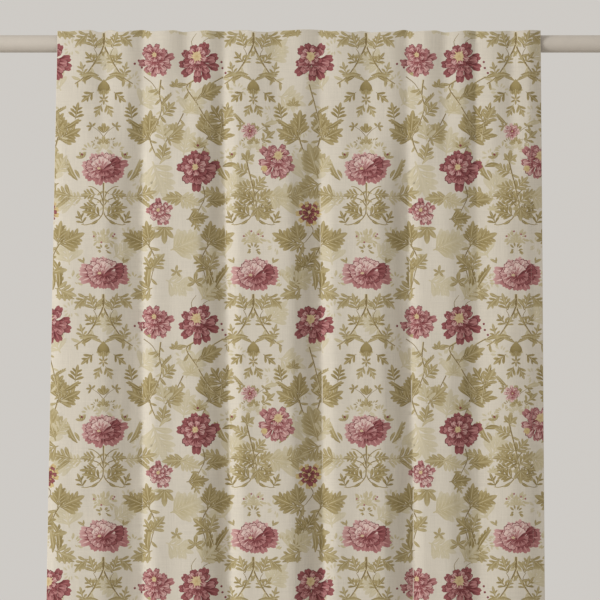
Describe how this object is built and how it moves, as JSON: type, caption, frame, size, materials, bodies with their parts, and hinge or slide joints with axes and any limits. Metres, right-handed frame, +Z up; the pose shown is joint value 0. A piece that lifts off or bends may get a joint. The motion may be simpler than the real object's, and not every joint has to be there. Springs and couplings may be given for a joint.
{
  "type": "window curtain on a pole",
  "caption": "Printed cloth panel hung by hidden back tabs on a round wooden pole in two cup wall brackets; it slides and gathers in folds.",
  "frame": {"origin": "centre of the four wall screw holes, on the wall plane", "axes": "+X along the pole, +Y into the wall, +Z up"},
  "size_m": [1.5242, 0.1499, 2.1336],
  "materials": {
    "printed_cloth": "matte linen-look weave with a floral print",
    "tab_cloth": "matte plain weave",
    "heading_band": "matte plain weave",
    "painted_wood": "satin cream paint",
    "bracket_metal": "satin cream paint"
  },
  "bodies": {
    "wall_brackets": {"left_wall_plate": "bracket_metal", "left_bracket_arm": "bracket_metal", "left_cradle": "bracket_metal", "right_wall_plate": "bracket_metal", "right_bracket_arm": "bracket_metal", "right_cradle": "bracket_metal"},
    "pole": {"curtain_pole": "painted_wood"},
    "left_cap": {"left_end_cap": "painted_wood"},
    "right_cap": {"right_end_cap": "painted_wood"},
    "tab_1": {"back_tab_1": "tab_cloth"},
    "tab_2": {"back_tab_2": "tab_cloth"},
    "tab_3": {"back_tab_3": "tab_cloth"},
    "tab_4": {"back_tab_4": "tab_cloth"},
    "tab_5": {"back_tab_5": "tab_cloth"},
    "tab_6": {"back_tab_6": "tab_cloth"},
    "tab_7": {"back_tab_7": "tab_cloth"},
    "fold_1_left": {"panel_fold_1_left": "printed_cloth", "heading_band_1_left": "heading_band"},
    "fold_1_right": {"panel_fold_1_right": "printed_cloth", "heading_band_1_right": "heading_band"},
    "fold_2_left": {"panel_fold_2_left": "printed_cloth", "heading_band_2_left": "heading_band"},
    "fold_2_right": {"panel_fold_2_right": "printed_cloth", "heading_band_2_right": "heading_band"},
    "fold_3_left": {"panel_fold_3_left": "printed_cloth", "heading_band_3_left": "heading_band"},
    "fold_3_right": {"panel_fold_3_right": "printed_cloth", "heading_band_3_right": "heading_band"},
    "fold_4_left": {"panel_fold_4_left": "printed_cloth", "heading_band_4_left": "heading_band"},
    "fold_4_right": {"panel_fold_4_right": "printed_cloth", "heading_band_4_right": "heading_band"},
    "fold_5_left": {"panel_fold_5_left": "printed_cloth", "heading_band_5_left": "heading_band"},
    "fold_5_right": {"panel_fold_5_right": "printed_cloth", "heading_band_5_right": "heading_band"},
    "fold_6_left": {"panel_fold_6_left": "printed_cloth", "heading_band_6_left": "heading_band"},
    "fold_6_right": {"panel_fold_6_right": "printed_cloth", "heading_band_6_right": "heading_band"}
  },
  "joints": [
    {"name": "pole_lift", "type": "slide", "parent": "wall_brackets", "child": "pole", "axis": [0, 0, 1], "range_m": [0, 0.05]},
    {"name": "left_cap_pull", "type": "slide", "parent": "pole", "child": "left_cap", "axis": [-1, 0, 0], "range_m": [0, 0.03]},
    {"name": "right_cap_pull", "type": "slide", "parent": "pole", "child": "right_cap", "axis": [1, 0, 0], "range_m": [0, 0.03]},
    {"name": "curtain_slide", "type": "slide", "parent": "pole", "child": "tab_1", "axis": [1, 0, 0], "range_m": [-0.08, 0.08]},
    {"name": "curtain_draw", "type": "hinge", "parent": "tab_1", "child": "fold_1_left", "pos_m": [-0.4845, -0.1065, 0], "axis": [0, 0, -1], "range_deg": [0, 47]},
    {"name": "crest_1", "type": "hinge", "parent": "fold_1_left", "child": "fold_1_right", "pos_m": [-0.399, -0.14587, 0], "axis": [0, 0, 1], "range_deg": [0, 94]},
    {"name": "tab_2_turn", "type": "hinge", "parent": "fold_1_right", "child": "tab_2", "pos_m": [-0.3135, -0.1065, 0], "axis": [0, 0, -1], "range_deg": [0, 47]},
    {"name": "back_fold_2", "type": "hinge", "parent": "fold_1_right", "child": "fold_2_left", "pos_m": [-0.3135, -0.1065, 0], "axis": [0, 0, -1], "range_deg": [0, 94]},
    {"name": "crest_2", "type": "hinge", "parent": "fold_2_left", "child": "fold_2_right", "pos_m": [-0.2325, -0.1438, 0], "axis": [0, 0, 1], "range_deg": [0, 94]},
    {"name": "tab_3_turn", "type": "hinge", "parent": "fold_2_right", "child": "tab_3", "pos_m": [-0.1515, -0.1065, 0], "axis": [0, 0, -1], "range_deg": [0, 47]},
    {"name": "back_fold_3", "type": "hinge", "parent": "fold_2_right", "child": "fold_3_left", "pos_m": [-0.1515, -0.1065, 0], "axis": [0, 0, -1], "range_deg": [0, 94]},
    {"name": "crest_3", "type": "hinge", "parent": "fold_3_left", "child": "fold_3_right", "pos_m": [-0.0555, -0.15071, 0], "axis": [0, 0, 1], "range_deg": [0, 94]},
    {"name": "tab_4_turn", "type": "hinge", "parent": "fold_3_right", "child": "tab_4", "pos_m": [0.0405, -0.1065, 0], "axis": [0, 0, -1], "range_deg": [0, 47]},
    {"name": "back_fold_4", "type": "hinge", "parent": "fold_3_right", "child": "fold_4_left", "pos_m": [0.0405, -0.1065, 0], "axis": [0, 0, -1], "range_deg": [0, 94]},
    {"name": "crest_4", "type": "hinge", "parent": "fold_4_left", "child": "fold_4_right", "pos_m": [0.1285, -0.14702, 0], "axis": [0, 0, 1], "range_deg": [0, 94]},
    {"name": "tab_5_turn", "type": "hinge", "parent": "fold_4_right", "child": "tab_5", "pos_m": [0.2165, -0.1065, 0], "axis": [0, 0, -1], "range_deg": [0, 47]},
    {"name": "back_fold_5", "type": "hinge", "parent": "fold_4_right", "child": "fold_5_left", "pos_m": [0.2165, -0.1065, 0], "axis": [0, 0, -1], "range_deg": [0, 94]},
    {"name": "crest_5", "type": "hinge", "parent": "fold_5_left", "child": "fold_5_right", "pos_m": [0.2855, -0.13827, 0], "axis": [0, 0, 1], "range_deg": [0, 94]},
    {"name": "tab_6_turn", "type": "hinge", "parent": "fold_5_right", "child": "tab_6", "pos_m": [0.3545, -0.1065, 0], "axis": [0, 0, -1], "range_deg": [0, 47]},
    {"name": "back_fold_6", "type": "hinge", "parent": "fold_5_right", "child": "fold_6_left", "pos_m": [0.3545, -0.1065, 0], "axis": [0, 0, -1], "range_deg": [0, 94]},
    {"name": "crest_6", "type": "hinge", "parent": "fold_6_left", "child": "fold_6_right", "pos_m": [0.4195, -0.13643, 0], "axis": [0, 0, 1], "range_deg": [0, 94]},
    {"name": "tab_7_turn", "type": "hinge", "parent": "fold_6_right", "child": "tab_7", "pos_m": [0.4845, -0.1065, 0], "axis": [0, 0, -1], "range_deg": [0, 47]}
  ],
  "couplings": [
    {"joint": "crest_1", "follows": "curtain_draw", "ratio": 2},
    {"joint": "tab_2_turn", "follows": "curtain_draw", "ratio": 1},
    {"joint": "back_fold_2", "follows": "curtain_draw", "ratio": 2},
    {"joint": "crest_2", "follows": "curtain_draw", "ratio": 2},
    {"joint": "tab_3_turn", "follows": "curtain_draw", "ratio": 1},
    {"joint": "back_fold_3", "follows": "curtain_draw", "ratio": 2},
    {"joint": "crest_3", "follows": "curtain_draw", "ratio": 2},
    {"joint": "tab_4_turn", "follows": "curtain_draw", "ratio": 1},
    {"joint": "back_fold_4", "follows": "curtain_draw", "ratio": 2},
    {"joint": "crest_4", "follows": "curtain_draw", "ratio": 2},
    {"joint": "tab_5_turn", "follows": "curtain_draw", "ratio": 1},
    {"joint": "back_fold_5", "follows": "curtain_draw", "ratio": 2},
    {"joint": "crest_5", "follows": "curtain_draw", "ratio": 2},
    {"joint": "tab_6_turn", "follows": "curtain_draw", "ratio": 1},
    {"joint": "back_fold_6", "follows": "curtain_draw", "ratio": 2},
    {"joint": "crest_6", "follows": "curtain_draw", "ratio": 2},
    {"joint": "tab_7_turn", "follows": "curtain_draw", "ratio": 1}
  ]
}
